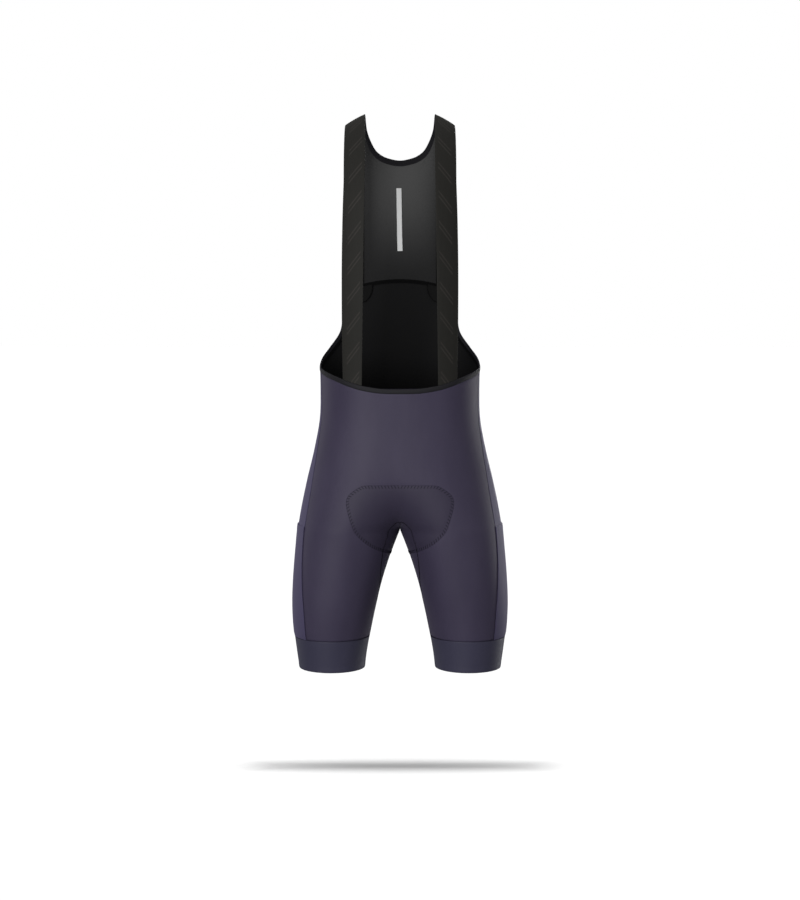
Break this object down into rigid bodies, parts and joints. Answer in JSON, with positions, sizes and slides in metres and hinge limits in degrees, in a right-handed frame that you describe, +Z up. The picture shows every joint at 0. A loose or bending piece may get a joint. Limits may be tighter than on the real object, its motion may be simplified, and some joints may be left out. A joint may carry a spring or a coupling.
{
  "type": "cycling bib shorts",
  "caption": "Close-fitting cycling bib shorts filled out as worn, with flat elastic shoulder straps, mesh back, padded crotch and wide leg grippers.",
  "frame": {"origin": "between the two shoulder straps at the top of the shoulders, where the wearer holds the garment up", "axes": "+Z up, the front faces -Y, +X is the wearer's left"},
  "size_m": [0.3798, 0.2464, 0.967],
  "materials": {
    "knit": "satin dark violet-grey stretch knit",
    "side_knit": "satin stretch knit, slightly lighter",
    "back_knit": "matt black knit",
    "mesh_knit": "matt black open mesh knit",
    "elastic": "flat woven dark olive-grey elastic",
    "binding": "folded soft elastic edging",
    "gripper": "dense satin knit band, slightly bluer",
    "label": "pale woven ribbon",
    "pad": "brushed knit over foam"
  },
  "bodies": {
    "root": {"front_panel": "knit", "seat_panel": "knit", "side_panel_left": "side_knit", "side_panel_right": "side_knit", "inner_leg_panel_left": "knit", "inner_leg_panel_right": "knit", "leg_gripper_left": "gripper", "leg_gripper_right": "gripper", "leg_pocket_left": "side_knit", "leg_pocket_right": "side_knit", "waist_binding": "binding", "lower_back_panel": "back_knit", "upper_back_panel": "mesh_knit", "neck_binding": "binding", "strap_left": "elastic", "strap_right": "elastic", "back_tab_left": "elastic", "back_tab_right": "elastic", "loop_label": "label", "seat_pad": "pad"}
  },
  "joints": []
}
